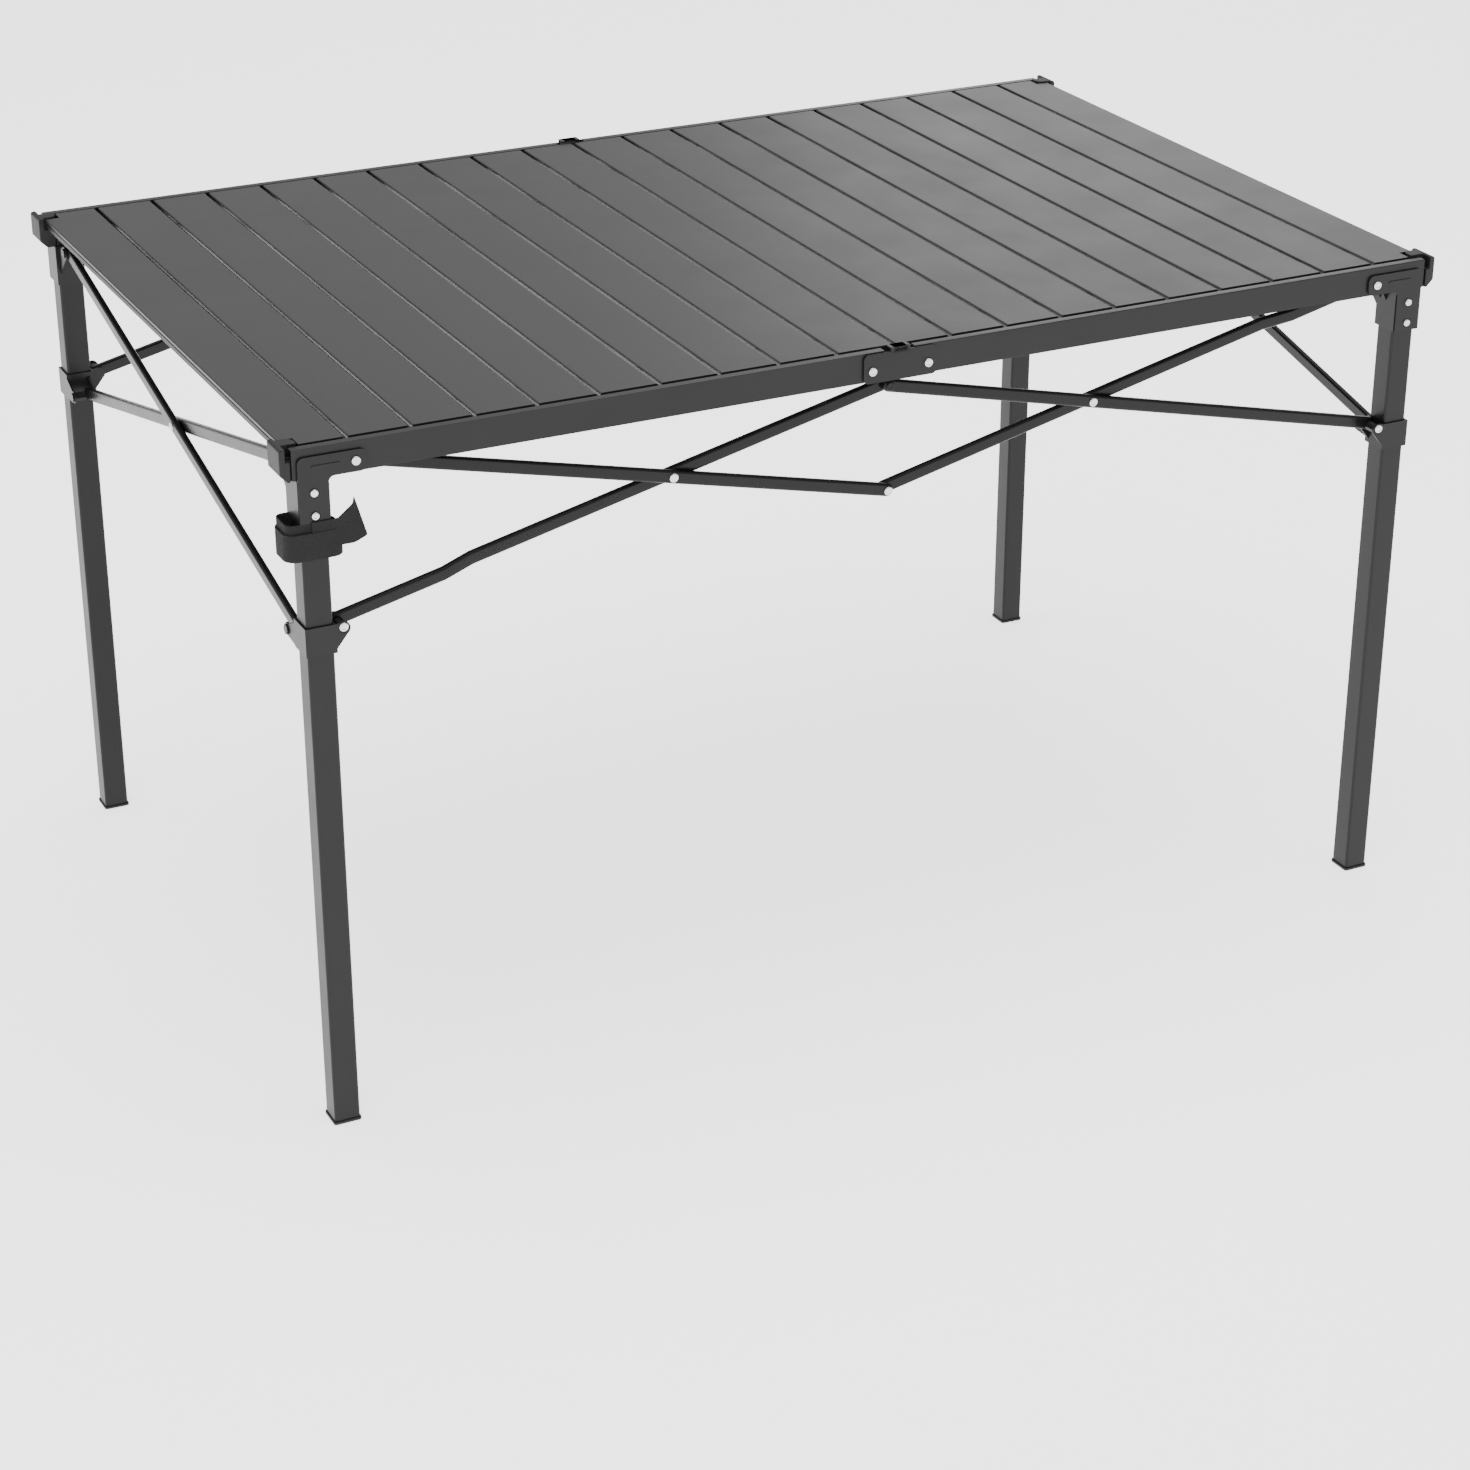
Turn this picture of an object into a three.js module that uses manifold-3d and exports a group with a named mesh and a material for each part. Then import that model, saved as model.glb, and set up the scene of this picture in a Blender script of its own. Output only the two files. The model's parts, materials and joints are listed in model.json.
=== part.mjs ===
// Folding picnic table: a slatted roll-up top on a scissor frame with four square legs.
//
// Millimetres, +Z up. The origin is on the floor under the middle of the table. X runs along the
// length, Y across the width, and the front long side faces -Y.

import * as THREE from 'three';
import { mergeVertices } from 'three/addons/utils/BufferGeometryUtils.js';
import Module from 'manifold-3d';

const wasm = await Module();
wasm.setup();

// ---- driving dimensions -------------------------------------------------------------------------

const LENGTH = 1194; // over the corner caps
const HEIGHT = 672; // floor to the slats' top face
const RAIL_FACE = 375; // table centre line to a side rail's outer face
const CLEAR = 0.3; // running gap between neighbouring pieces

const LEG_X = 568; // leg centre line
const LEG_Y = 360;
const LEG_HALF = 12.5;
const LEG_WALL = 1.5;
const LEG_TOP = HEIGHT - 13;

const SLAT_COUNT = 20;
const SLAT_PITCH = 59.1;
const SLAT_WIDTH = 55.4;
const SLAT_THICK = 10;
const SLAT_WALL = 1.3;
const SLAT_HALF = RAIL_FACE - 12;

const RAIL_WEB = 2;
const RAIL_TOP = HEIGHT - 0.5;
const RAIL_BOTTOM = HEIGHT - 28.5;
const RAIL_BAND = 8.5; // width of the rail's top band
const RAIL_OUTER_X = 586;
const RAIL_INNER_X = 15.5;
const RAIL_PIVOT_X = 529;
const RAIL_PIVOT_Z = HEIGHT - 18;
const RAIL_HINGE_X = 29;
const LEDGE_DEPTH = 15.2; // rail face to the inner edge of the ledge that carries the slats
const LEDGE_THICK = 2;
const LEDGE_OUTER_X = 531;

const PIN_R = 3;
const PIN_HOLE_R = 3.5;
const HEAD_R = 5;
const HEAD_THICK = 1.7;

const BRACE_R = 6.2; // half the height of a scissor arm
const BRACE_THICK = 7;
const FOLD_ANGLE = THREE.MathUtils.degToRad(13.3); // slope of every arm with the table open
const SIDE_PIVOT = 21; // leg centre to the pivots of the long sides' arms
const END_PIVOT = 34; // leg centre to the pivots of the short ends' arms
const SIDE_TOP_Z = RAIL_PIVOT_Z;
const END_TOP_Z = HEIGHT - 31;

// Distances from a leg's centre line, outwards across the width, where the arms run.
const NEAR_PLANE = [-8.5, -1.5];
const FAR_PLANE = [-15.8, -8.8];
const OUTER_PLANE = [1.7, 8.7]; // the same along the length, for the short ends' arms
const INNER_PLANE = [-5.6, 1.4];

const SLEEVE_INNER = LEG_HALF + CLEAR;
const SLEEVE_OUTER = LEG_HALF + 2;
const SLIDER_ABOVE = 5; // sleeve above and below the side pivot
const SLIDER_BELOW = 22;

const BRACKET_FACE = RAIL_FACE + CLEAR;
const BRACKET_THICK = 2;
const BRACKET_BOTTOM = HEIGHT - 70;

// ---- derived dimensions -------------------------------------------------------------------------

const HALF_SPAN = LEG_X - SIDE_PIVOT;
const END_SPAN = LEG_Y - END_PIVOT;
const BRACE_CROSSING = END_SPAN / Math.cos(FOLD_ANGLE); // leg pivot to crossing, on every arm
const SIDE_BRACE = HALF_SPAN / Math.cos(FOLD_ANGLE);
const END_BRACE = 2 * BRACE_CROSSING;
const SLIDE_DROP = END_BRACE * Math.sin(FOLD_ANGLE);
const SIDE_SLIDER_Z = SIDE_TOP_Z - SLIDE_DROP;
const END_SLIDER_Z = END_TOP_Z - SLIDE_DROP;

// ---- materials ----------------------------------------------------------------------------------

function metal(color, roughness, metalness) {
  return new THREE.MeshStandardMaterial({ color, roughness, metalness });
}

const MATERIALS = {
  slat: () => metal(0x6a6a6c, 0.42, 0.85),
  rail: () => metal(0x3c3c3e, 0.45, 0.7),
  leg: () => metal(0x2b2b2d, 0.5, 0.5),
  brace: () => metal(0x19191a, 0.3, 0.6),
  bracket: () => metal(0x1f1f21, 0.4, 0.5),
  plastic: () => metal(0x151516, 0.6, 0),
  webbing: () => metal(0x101010, 0.9, 0),
};

// ---- solids -------------------------------------------------------------------------------------

function solid(geometry) {
  const plain = geometry.clone();
  plain.deleteAttribute('normal');
  plain.deleteAttribute('uv');
  const merged = mergeVertices(plain, 1e-4);
  return new wasm.Manifold(
    new wasm.Mesh({
      numProp: 3,
      vertProperties: new Float32Array(merged.attributes.position.array),
      triVerts: new Uint32Array(merged.index.array),
    }),
  );
}

function join(...pieces) {
  return pieces.reduce((whole, piece) => whole.add(piece));
}

function box(x, y, z) {
  const geometry = new THREE.BoxGeometry(x[1] - x[0], y[1] - y[0], z[1] - z[0]);
  geometry.translate((x[0] + x[1]) / 2, (y[0] + y[1]) / 2, (z[0] + z[1]) / 2);
  return solid(geometry);
}

// A flat shape drawn in X and Z, thick along Y.
function plateAcross(shape, y, curveSegments = 4) {
  const depth = y[1] - y[0];
  const geometry = new THREE.ExtrudeGeometry(shape, { depth, bevelEnabled: false, curveSegments });
  geometry.translate(0, 0, -y[1]);
  geometry.rotateX(Math.PI / 2);
  return solid(geometry);
}

// A flat shape drawn in Y and Z, thick along X.
function plateAlong(shape, x, curveSegments = 4) {
  const depth = x[1] - x[0];
  const geometry = new THREE.ExtrudeGeometry(shape, { depth, bevelEnabled: false, curveSegments });
  geometry.rotateX(Math.PI / 2);
  geometry.rotateZ(Math.PI / 2);
  geometry.translate(x[0], 0, 0);
  return solid(geometry);
}

function pinAcross(x, z, radius, y, sides = 8) {
  const geometry = new THREE.CylinderGeometry(radius, radius, y[1] - y[0], sides);
  geometry.translate(x, (y[0] + y[1]) / 2, z);
  return solid(geometry);
}

function pinAlong(y, z, radius, x, sides = 8) {
  const geometry = new THREE.CylinderGeometry(radius, radius, x[1] - x[0], sides);
  geometry.rotateZ(Math.PI / 2);
  geometry.translate((x[0] + x[1]) / 2, y, z);
  return solid(geometry);
}

// A rectangle whose four corners are rounded.
function roundedRectangle(x, y, radius) {
  const shape = new THREE.Shape();
  shape.moveTo(x[0] + radius, y[0]);
  shape.lineTo(x[1] - radius, y[0]);
  shape.absarc(x[1] - radius, y[0] + radius, radius, -Math.PI / 2, 0);
  shape.lineTo(x[1], y[1] - radius);
  shape.absarc(x[1] - radius, y[1] - radius, radius, 0, Math.PI / 2);
  shape.lineTo(x[0] + radius, y[1]);
  shape.absarc(x[0] + radius, y[1] - radius, radius, Math.PI / 2, Math.PI);
  shape.lineTo(x[0], y[0] + radius);
  shape.absarc(x[0] + radius, y[0] + radius, radius, Math.PI, Math.PI * 1.5);
  return shape;
}

// A lug that reaches from a foot line at u = footU to a round eye.
function lugShape(footU, footZ, eyeU, eyeZ, radius) {
  const outward = Math.sign(footU - eyeU);
  const shape = new THREE.Shape();
  shape.moveTo(footU, footZ[0]);
  shape.lineTo(footU, footZ[1]);
  shape.lineTo(eyeU + outward * radius * 0.4, eyeZ + radius * 0.92);
  const start = outward > 0 ? Math.PI * 0.37 : Math.PI * 0.63;
  const end = outward > 0 ? Math.PI * 1.3 : -Math.PI * 0.3;
  shape.absarc(eyeU, eyeZ, radius, start, end, outward < 0);
  shape.closePath();
  return shape;
}

// ---- placing ------------------------------------------------------------------------------------

const table = new THREE.Group();

function toGeometry(manifold) {
  const mesh = manifold.getMesh();
  const geometry = new THREE.BufferGeometry();
  geometry.setAttribute('position', new THREE.Float32BufferAttribute(mesh.vertProperties, 3));
  geometry.setIndex(new THREE.Uint32BufferAttribute(mesh.triVerts, 1));
  return geometry;
}

// Turns a piece drawn for the back right corner into the one for another corner.
function mirrored(geometry, signX, signY) {
  const copy = geometry.clone();
  copy.scale(signX, signY, 1);
  if (signX * signY < 0) {
    const index = copy.index.array;
    for (let i = 0; i < index.length; i += 3) {
      const first = index[i];
      index[i] = index[i + 1];
      index[i + 1] = first;
    }
  }
  return copy;
}

function place(name, geometry, material, x = 0, y = 0, z = 0) {
  geometry.computeVertexNormals();
  const mesh = new THREE.Mesh(geometry, MATERIALS[material]());
  mesh.name = name;
  mesh.position.set(x, y, z);
  table.add(mesh);
  return mesh;
}

const CORNERS = [
  { name: 'front_left', signX: -1, signY: -1 },
  { name: 'front_right', signX: 1, signY: -1 },
  { name: 'back_left', signX: -1, signY: 1 },
  { name: 'back_right', signX: 1, signY: 1 },
];

// Corner pieces are drawn round their leg's centre line: +X and +Y point away from the table.
function placeAtCorners(prefix, piece, material) {
  const geometry = toGeometry(piece);
  for (const { name, signX, signY } of CORNERS) {
    const copy = mirrored(geometry, signX, signY);
    place(`${prefix}_${name}`, copy, material, signX * LEG_X, signY * LEG_Y);
  }
}

// ---- legs, feet and corner caps -----------------------------------------------------------------

function buildLeg() {
  const bottom = 3 + CLEAR;
  const bore = LEG_HALF - LEG_WALL;
  const section = roundedRectangle([-LEG_HALF, LEG_HALF], [-LEG_HALF, LEG_HALF], 2.5);
  section.holes.push(roundedRectangle([-bore, bore], [-bore, bore], 1));
  const depth = LEG_TOP - bottom;
  const geometry = new THREE.ExtrudeGeometry(section, { depth, bevelEnabled: false, curveSegments: 2 });
  geometry.translate(0, 0, bottom);
  return solid(geometry);
}

const PLUG_HALF = LEG_HALF - LEG_WALL - CLEAR;

function plug(z) {
  return box([-PLUG_HALF, PLUG_HALF], [-PLUG_HALF, PLUG_HALF], z);
}

function buildFoot() {
  const half = LEG_HALF + 1.2;
  const section = roundedRectangle([-half, half], [-half, half], 3);
  const pad = new THREE.ExtrudeGeometry(section, { depth: 3, bevelEnabled: false, curveSegments: 3 });
  return join(solid(pad), plug([2, 22]));
}

// Size of the notch in the end slats that the cap's rounded pad stands in.
const PAD_X = 577;
const PAD_Y = 349;

function buildCornerCap() {
  const outer = LENGTH / 2 - LEG_X;
  const wall = 23.5;
  const railEnd = RAIL_OUTER_X - LEG_X + 1.5;
  const face = RAIL_FACE - LEG_Y + 1;
  const bottom = HEIGHT - 29;
  const underSlat = HEIGHT - SLAT_THICK - CLEAR;
  const top = HEIGHT + 1.5;
  const chamfer = 7;

  const side = new THREE.Shape();
  side.moveTo(railEnd, bottom);
  side.lineTo(outer - chamfer, bottom);
  side.lineTo(outer, bottom + chamfer);
  side.lineTo(outer, top - 1.5);
  side.lineTo(outer - 1.5, top);
  side.lineTo(wall, top);
  side.lineTo(wall, underSlat);
  side.lineTo(railEnd, underSlat);
  side.closePath();
  const endBlock = plateAcross(side, [-15, face]);

  const behindRail = box([SLEEVE_INNER, railEnd + 1], [-15, LEG_HALF], [bottom, underSlat]);
  const cover = box([-LEG_HALF, railEnd + 1], [-LEG_HALF, LEG_HALF], [LEG_TOP + CLEAR, underSlat]);

  const padX = PAD_X - LEG_X;
  const padY = PAD_Y - LEG_Y;
  const padRadius = 8;
  const padShape = new THREE.Shape();
  padShape.moveTo(wall + 1, 3.8);
  padShape.lineTo(padX, 3.8);
  padShape.lineTo(padX, padY + padRadius);
  padShape.absarc(padX + padRadius, padY + padRadius, padRadius, Math.PI, Math.PI * 1.5);
  padShape.lineTo(wall + 1, padY);
  padShape.closePath();
  const depth = top - underSlat + 1;
  const pad = new THREE.ExtrudeGeometry(padShape, { depth, bevelEnabled: false, curveSegments: 4 });
  pad.translate(0, 0, underSlat - 1);

  return join(endBlock, behindRail, cover, solid(pad), plug([HEIGHT - 33, LEG_TOP + 1]));
}

placeAtCorners('leg', buildLeg(), 'leg');
placeAtCorners('foot', buildFoot(), 'plastic');
placeAtCorners('corner_cap', buildCornerCap(), 'plastic');

// ---- sleeves, lugs and pins round the legs ------------------------------------------------------

function sleeve(z) {
  const inside = box([-SLEEVE_INNER, SLEEVE_INNER], [-SLEEVE_INNER, SLEEVE_INNER], [z[0] - 1, z[1] + 1]);
  return box([-SLEEVE_OUTER, SLEEVE_OUTER], [-SLEEVE_OUTER, SLEEVE_OUTER], z).subtract(inside);
}

const LUG_THICK = 2;

// Two lugs either side of an end arm's slot, with the pin that the arm turns on.
function endClevis(footZ, eyeZ, slot) {
  const eye = -END_PIVOT;
  const foot = -SLEEVE_INNER - 0.2;
  const outer = [slot[1], slot[1] + SLEEVE_OUTER - SLEEVE_INNER];
  const inner = [slot[0] - LUG_THICK, slot[0]];
  const shape = lugShape(foot, footZ, eye, eyeZ, 6.5);
  const pin = pinAlong(eye, eyeZ, PIN_R, [inner[0], outer[1]]);
  const head = pinAlong(eye, eyeZ, HEAD_R, [outer[1] - 0.5, outer[1] + HEAD_THICK]);
  return join(plateAlong(shape, outer), plateAlong(shape, inner), pin, head);
}

// Spacers fill the slot beside the arm that turns in it.
function endSpacer(eyeZ, slot, plane) {
  const eye = -END_PIVOT;
  const outerGap = [plane[1] + CLEAR, slot[1] + 0.5];
  const innerGap = [slot[0] - 0.5, plane[0] - CLEAR];
  return join(pinAlong(eye, eyeZ, HEAD_R, outerGap), pinAlong(eye, eyeZ, HEAD_R, innerGap));
}

const INNER_LUG = [NEAR_PLANE[0] - CLEAR - LUG_THICK, NEAR_PLANE[0] - CLEAR];

// ---- rail brackets: fixed sleeves at the legs' tops ---------------------------------------------

function bracketOutline() {
  const inner = RAIL_PIVOT_X - LEG_X - 10;
  const armTop = HEIGHT - 8;
  const armBottom = HEIGHT - 28;
  const left = -LEG_HALF - 1;
  const right = LEG_HALF + 1.5;
  const radius = 6;
  const shape = new THREE.Shape();
  shape.moveTo(left, BRACKET_BOTTOM);
  shape.lineTo(right, BRACKET_BOTTOM);
  shape.lineTo(right, armTop - radius);
  shape.absarc(right - radius, armTop - radius, radius, 0, Math.PI / 2);
  shape.lineTo(inner + radius, armTop);
  shape.absarc(inner + radius, armTop - radius, radius, Math.PI / 2, Math.PI);
  shape.lineTo(inner, armBottom + radius);
  shape.absarc(inner + radius, armBottom + radius, radius, Math.PI, Math.PI * 1.5);
  shape.lineTo(left - radius, armBottom);
  shape.absarc(left - radius, armBottom - radius, radius, Math.PI / 2, 0, true);
  shape.closePath();
  return shape;
}

const LEG_RIVETS = [HEIGHT - 41, HEIGHT - 62];

function buildRailBracket(endPlane) {
  const face = BRACKET_FACE - LEG_Y;
  const outside = face + BRACKET_THICK;
  const sleeveTop = HEIGHT - 29.5;
  const pivotX = RAIL_PIVOT_X - LEG_X;
  const slot = [-7.7, 9.2];
  const lug = lugShape(-SLEEVE_INNER, [HEIGHT - 45, HEIGHT - 30], -SIDE_PIVOT, SIDE_TOP_Z, 6.5);
  const frontLug = [NEAR_PLANE[1] + CLEAR, NEAR_PLANE[1] + CLEAR + LUG_THICK];
  const pieces = [
    plateAcross(bracketOutline(), [face, outside]),
    box([-SLEEVE_OUTER, SLEEVE_OUTER], [SLEEVE_INNER, face + 0.5], [BRACKET_BOTTOM, sleeveTop]),
    sleeve([BRACKET_BOTTOM, sleeveTop]),
    plateAcross(lug, frontLug),
    plateAcross(lug, INNER_LUG),
    pinAcross(-SIDE_PIVOT, SIDE_TOP_Z, PIN_R, [INNER_LUG[0], frontLug[1]]),
    pinAcross(pivotX, RAIL_PIVOT_Z, PIN_R, [face - RAIL_WEB - 2, face + 1]),
    pinAcross(pivotX, RAIL_PIVOT_Z, HEAD_R, [face - RAIL_WEB - 2.2, face - RAIL_WEB - 2 * CLEAR]),
    pinAcross(pivotX, RAIL_PIVOT_Z, HEAD_R, [outside - 0.5, outside + HEAD_THICK]),
    endClevis([HEIGHT - 60, HEIGHT - 33], END_TOP_Z, slot),
    endSpacer(END_TOP_Z, slot, endPlane),
  ];
  for (const z of LEG_RIVETS) {
    pieces.push(pinAcross(0, z, HEAD_R, [outside - 0.5, outside + HEAD_THICK]));
  }
  return join(...pieces);
}

// ---- sliders: sleeves that ride on the legs and carry the arms' lower ends ----------------------

function buildSlider(endPlane) {
  const z = [SIDE_SLIDER_Z - SLIDER_BELOW, SIDE_SLIDER_Z + SLIDER_ABOVE];
  const slot = [-7.7, SLEEVE_INNER];
  const sideFoot = [z[0] + 2, z[1] - 0.5];
  const sideLug = lugShape(-SLEEVE_INNER - 0.2, sideFoot, -SIDE_PIVOT, SIDE_SLIDER_Z, 6.5);
  const spacer = [NEAR_PLANE[1] + CLEAR, SLEEVE_INNER + 0.5];
  return join(
    sleeve(z),
    plateAcross(sideLug, [SLEEVE_INNER, SLEEVE_OUTER]),
    plateAcross(sideLug, INNER_LUG),
    pinAcross(-SIDE_PIVOT, SIDE_SLIDER_Z, PIN_R, [INNER_LUG[0], SLEEVE_OUTER]),
    pinAcross(-SIDE_PIVOT, SIDE_SLIDER_Z, HEAD_R, spacer),
    pinAcross(-SIDE_PIVOT, SIDE_SLIDER_Z, HEAD_R, [SLEEVE_OUTER - 0.5, SLEEVE_OUTER + HEAD_THICK]),
    endClevis([z[0] + 1, z[1] - 4], END_SLIDER_Z, slot),
    endSpacer(END_SLIDER_Z, slot, endPlane),
  );
}

// The arm from a back leg's top to the front slider runs in the outer plane, the other one inside it.
for (const { name, signX, signY } of CORNERS) {
  const front = signY < 0;
  const bracket = toGeometry(buildRailBracket(front ? INNER_PLANE : OUTER_PLANE));
  const slider = toGeometry(buildSlider(front ? OUTER_PLANE : INNER_PLANE));
  const x = signX * LEG_X;
  const y = signY * LEG_Y;
  place(`rail_bracket_${name}`, mirrored(bracket, signX, signY), 'bracket', x, y);
  place(`slider_${name}`, mirrored(slider, signX, signY), 'bracket', x, y);
}

// ---- side rails ---------------------------------------------------------------------------------

// Drawn for the back right half in the table's own frame, then mirrored.
function buildHalfRail() {
  const face = RAIL_FACE;
  const x = [RAIL_INNER_X, RAIL_OUTER_X];
  const ledgeTop = HEIGHT - SLAT_THICK - CLEAR;
  const webY = [face - RAIL_WEB, face];
  const hole = [face - RAIL_WEB - 1, face + 1];
  return join(
    box(x, webY, [RAIL_BOTTOM, RAIL_TOP]),
    box(x, [face - RAIL_BAND, face], [RAIL_TOP - RAIL_WEB, RAIL_TOP]),
    box([x[0], LEDGE_OUTER_X], [face - LEDGE_DEPTH, face], [ledgeTop - LEDGE_THICK, ledgeTop]),
  )
    .subtract(pinAcross(RAIL_PIVOT_X, RAIL_PIVOT_Z, PIN_HOLE_R, hole))
    .subtract(pinAcross(RAIL_HINGE_X, RAIL_PIVOT_Z, PIN_HOLE_R, hole));
}

const halfRail = toGeometry(buildHalfRail());
for (const { name, signX, signY } of CORNERS) {
  place(`rail_${name}`, mirrored(halfRail, signX, signY), 'rail');
}

// The hinge bracket links the two halves of a rail. Only its right hand pin goes through a rail.
function buildRailHinge() {
  const y = [BRACKET_FACE, BRACKET_FACE + BRACKET_THICK];
  const half = 38;
  const plateZ = [RAIL_PIVOT_Z - 11.5, RAIL_PIVOT_Z + 16.5];
  const tab = 7;
  const tabZ = HEIGHT + 0.6;
  const head = [y[1] - 0.5, y[1] + HEAD_THICK];
  const inside = RAIL_FACE - RAIL_WEB;
  return join(
    plateAcross(roundedRectangle([-half, half], plateZ, 5.5), y, 5),
    box([-tab, tab], y, [plateZ[1] - 2, tabZ + 1]),
    box([-tab, tab], [RAIL_FACE - RAIL_BAND, y[1]], [tabZ, tabZ + 1.4]),
    pinAcross(RAIL_HINGE_X, RAIL_PIVOT_Z, PIN_R, [inside - 2, y[1]]),
    pinAcross(RAIL_HINGE_X, RAIL_PIVOT_Z, HEAD_R, [inside - 2, inside - CLEAR]),
    pinAcross(RAIL_HINGE_X, RAIL_PIVOT_Z, HEAD_R, head),
    pinAcross(-RAIL_HINGE_X, RAIL_PIVOT_Z, HEAD_R, head),
  );
}

const railHinge = toGeometry(buildRailHinge());
place('rail_hinge_front', mirrored(railHinge, 1, -1), 'bracket');
place('rail_hinge_back', mirrored(railHinge, 1, 1), 'bracket');

// ---- scissor arms -------------------------------------------------------------------------------

// Drawn level from its leg pivot at x = 0 along +X, in the plane given by y.
function braceBar(length, y) {
  const outline = roundedRectangle([-BRACE_R, length + BRACE_R], [-BRACE_R, BRACE_R], BRACE_R - 0.01);
  return plateAcross(outline, y, 3);
}

const JOGGLE = [105, 135]; // where a far arm steps over to its leg's plane

function steppedBar(length) {
  const side = braceBar(length, [FAR_PLANE[0], NEAR_PLANE[1]]);
  const plan = new THREE.Shape();
  plan.moveTo(-20, NEAR_PLANE[0]);
  plan.lineTo(JOGGLE[0], NEAR_PLANE[0]);
  plan.lineTo(JOGGLE[1], FAR_PLANE[0]);
  plan.lineTo(length + 20, FAR_PLANE[0]);
  plan.lineTo(length + 20, FAR_PLANE[1]);
  plan.lineTo(JOGGLE[1], FAR_PLANE[1]);
  plan.lineTo(JOGGLE[0], NEAR_PLANE[1]);
  plan.lineTo(-20, NEAR_PLANE[1]);
  plan.closePath();
  const cut = new THREE.ExtrudeGeometry(plan, { depth: 40, bevelEnabled: false });
  cut.translate(0, 0, -20);
  return side.intersect(solid(cut));
}

function drilled(bar, stations) {
  const y = [FAR_PLANE[0] - 5, OUTER_PLANE[1] + 5];
  return stations.reduce((whole, x) => whole.subtract(pinAcross(x, 0, PIN_HOLE_R, y)), bar);
}

// The near arms carry the pins at the crossing and at the middle of the side.
function nearSideBrace() {
  const pinY = [FAR_PLANE[0] - 1.5, NEAR_PLANE[1] + 1];
  const headY = [NEAR_PLANE[1] - 0.5, NEAR_PLANE[1] + 0.9];
  return join(
    drilled(braceBar(SIDE_BRACE, NEAR_PLANE), [0]),
    pinAcross(BRACE_CROSSING, 0, PIN_R, pinY),
    pinAcross(SIDE_BRACE, 0, PIN_R, pinY),
    pinAcross(BRACE_CROSSING, 0, 4, headY),
    pinAcross(SIDE_BRACE, 0, 4, headY),
  );
}

function farSideBrace() {
  return drilled(steppedBar(SIDE_BRACE), [0, BRACE_CROSSING, SIDE_BRACE]);
}

const nearBrace = toGeometry(nearSideBrace());
const farBrace = toGeometry(farSideBrace());

// Each long side has two arms from the legs' tops and two from the sliders.
const SIDE_BRACES = [
  { name: 'left_high', geometry: nearBrace, side: -1, z: SIDE_TOP_Z, slope: -1 },
  { name: 'left_low', geometry: farBrace, side: -1, z: SIDE_SLIDER_Z, slope: 1 },
  { name: 'right_low', geometry: nearBrace, side: 1, z: SIDE_SLIDER_Z, slope: 1 },
  { name: 'right_high', geometry: farBrace, side: 1, z: SIDE_TOP_Z, slope: -1 },
];

for (const { row, signY } of [{ row: 'front', signY: -1 }, { row: 'back', signY: 1 }]) {
  for (const { name, geometry, side, z, slope } of SIDE_BRACES) {
    const copy = mirrored(geometry, -side, signY);
    const mesh = place(`brace_${row}_${name}`, copy, 'brace', side * HALF_SPAN, signY * LEG_Y, z);
    mesh.rotation.y = side * slope * FOLD_ANGLE;
  }
}

// The short ends' arms are drawn along X too, then turned to run from front to back.
function endBrace(plane, withPin) {
  const bar = drilled(braceBar(END_BRACE, plane), withPin ? [0, END_BRACE] : [0, BRACE_CROSSING, END_BRACE]);
  if (!withPin) {
    return bar;
  }
  const pin = pinAcross(BRACE_CROSSING, 0, PIN_R, [INNER_PLANE[0] - 1.5, plane[1] + 0.5]);
  const head = pinAcross(BRACE_CROSSING, 0, 4, [plane[1] - 0.5, plane[1] + 1.5]);
  return join(bar, pin, head);
}

const outerEndBrace = toGeometry(endBrace(OUTER_PLANE, true));
const innerEndBrace = toGeometry(endBrace(INNER_PLANE, false));

for (const { end, signX } of [{ end: 'left', signX: -1 }, { end: 'right', signX: 1 }]) {
  const arms = [
    { name: 'outer', geometry: outerEndBrace, z: END_SLIDER_Z, slope: 1 },
    { name: 'inner', geometry: innerEndBrace, z: END_TOP_Z, slope: -1 },
  ];
  for (const { name, geometry, z, slope } of arms) {
    const turned = geometry.clone();
    turned.rotateZ(Math.PI / 2);
    turned.rotateX(slope * FOLD_ANGLE);
    const copy = mirrored(turned, -signX, 1);
    place(`brace_${end}_${name}`, copy, 'brace', signX * LEG_X, -END_SPAN, z);
  }
}

// ---- roll-up top --------------------------------------------------------------------------------

function slatSection() {
  const half = SLAT_WIDTH / 2;
  const bottom = HEIGHT - SLAT_THICK;
  const shape = roundedRectangle([-half, half], [bottom, HEIGHT], 1.5);
  const inner = [-half + SLAT_WALL, half - SLAT_WALL];
  shape.holes.push(roundedRectangle(inner, [bottom + SLAT_WALL, HEIGHT - SLAT_WALL], 0.6));
  return shape;
}

function buildSlat() {
  return plateAcross(slatSection(), [-SLAT_HALF, SLAT_HALF], 2);
}

// The two outermost slats are notched at their ends, round the corner caps' pads.
function buildEndSlat(side, centre) {
  const notchX = (PAD_X - 2) * side - centre;
  const beyond = side * (SLAT_WIDTH / 2 + 1);
  const x = [Math.min(notchX, beyond), Math.max(notchX, beyond)];
  const y = PAD_Y - 1.6;
  const z = [HEIGHT - SLAT_THICK - 1, HEIGHT + 1];
  return buildSlat()
    .subtract(box(x, [y, SLAT_HALF + 1], z))
    .subtract(box(x, [-SLAT_HALF - 1, -y], z));
}

for (let i = 0; i < SLAT_COUNT; i += 1) {
  const centre = (i - (SLAT_COUNT - 1) / 2) * SLAT_PITCH;
  const isEnd = i === 0 || i === SLAT_COUNT - 1;
  const piece = isEnd ? buildEndSlat(Math.sign(centre), centre) : buildSlat();
  place(`slat_${String(i + 1).padStart(2, '0')}`, toGeometry(piece), 'slat', centre);
}

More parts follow.
